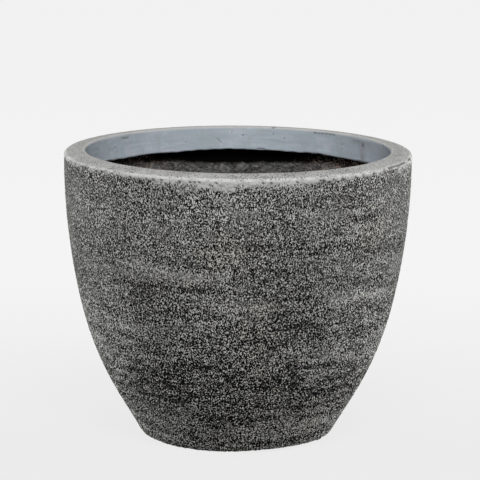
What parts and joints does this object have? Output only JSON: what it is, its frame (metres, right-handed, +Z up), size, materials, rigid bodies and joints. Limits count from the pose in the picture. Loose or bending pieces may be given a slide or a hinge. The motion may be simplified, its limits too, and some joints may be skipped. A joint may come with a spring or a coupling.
{
  "type": "planter",
  "caption": "Round egg-shaped cement floor planter with a crowned rim, a smooth band overhanging inside the mouth, a drained floor slab and a lift-out rubber drain plug.",
  "frame": {"origin": "on the floor under the centre of the planter", "axes": "+Z up along the planter's axis, -Y towards the viewer in the picture"},
  "size_m": [0.45, 0.45, 0.375],
  "materials": {
    "shell_cement": "rough charcoal cement with light grey ridges",
    "lining_fibre": "rough brown-grey fibre and cement",
    "floor_cement": "rough cast cement",
    "rim_cement": "granular light grey cement",
    "band_cement": "smooth trowelled blue-grey cement",
    "sleeve_plastic": "matte black",
    "plug_rubber": "matte black",
    "pad_rubber": "matte black"
  },
  "bodies": {
    "pot": {"outer_shell": "shell_cement", "fibre_lining": "lining_fibre", "floor_slab": "floor_cement", "rim_cap": "rim_cement", "mouth_band": "band_cement", "drain_sleeve": "sleeve_plastic", "foot_pad_1": "pad_rubber", "foot_pad_2": "pad_rubber", "foot_pad_3": "pad_rubber", "foot_pad_4": "pad_rubber"},
    "plug": {"drain_plug": "plug_rubber"}
  },
  "joints": [
    {"name": "plug_lift", "type": "slide", "parent": "pot", "child": "plug", "axis": [0, 0, 1], "range_m": [0, 0.06]}
  ]
}
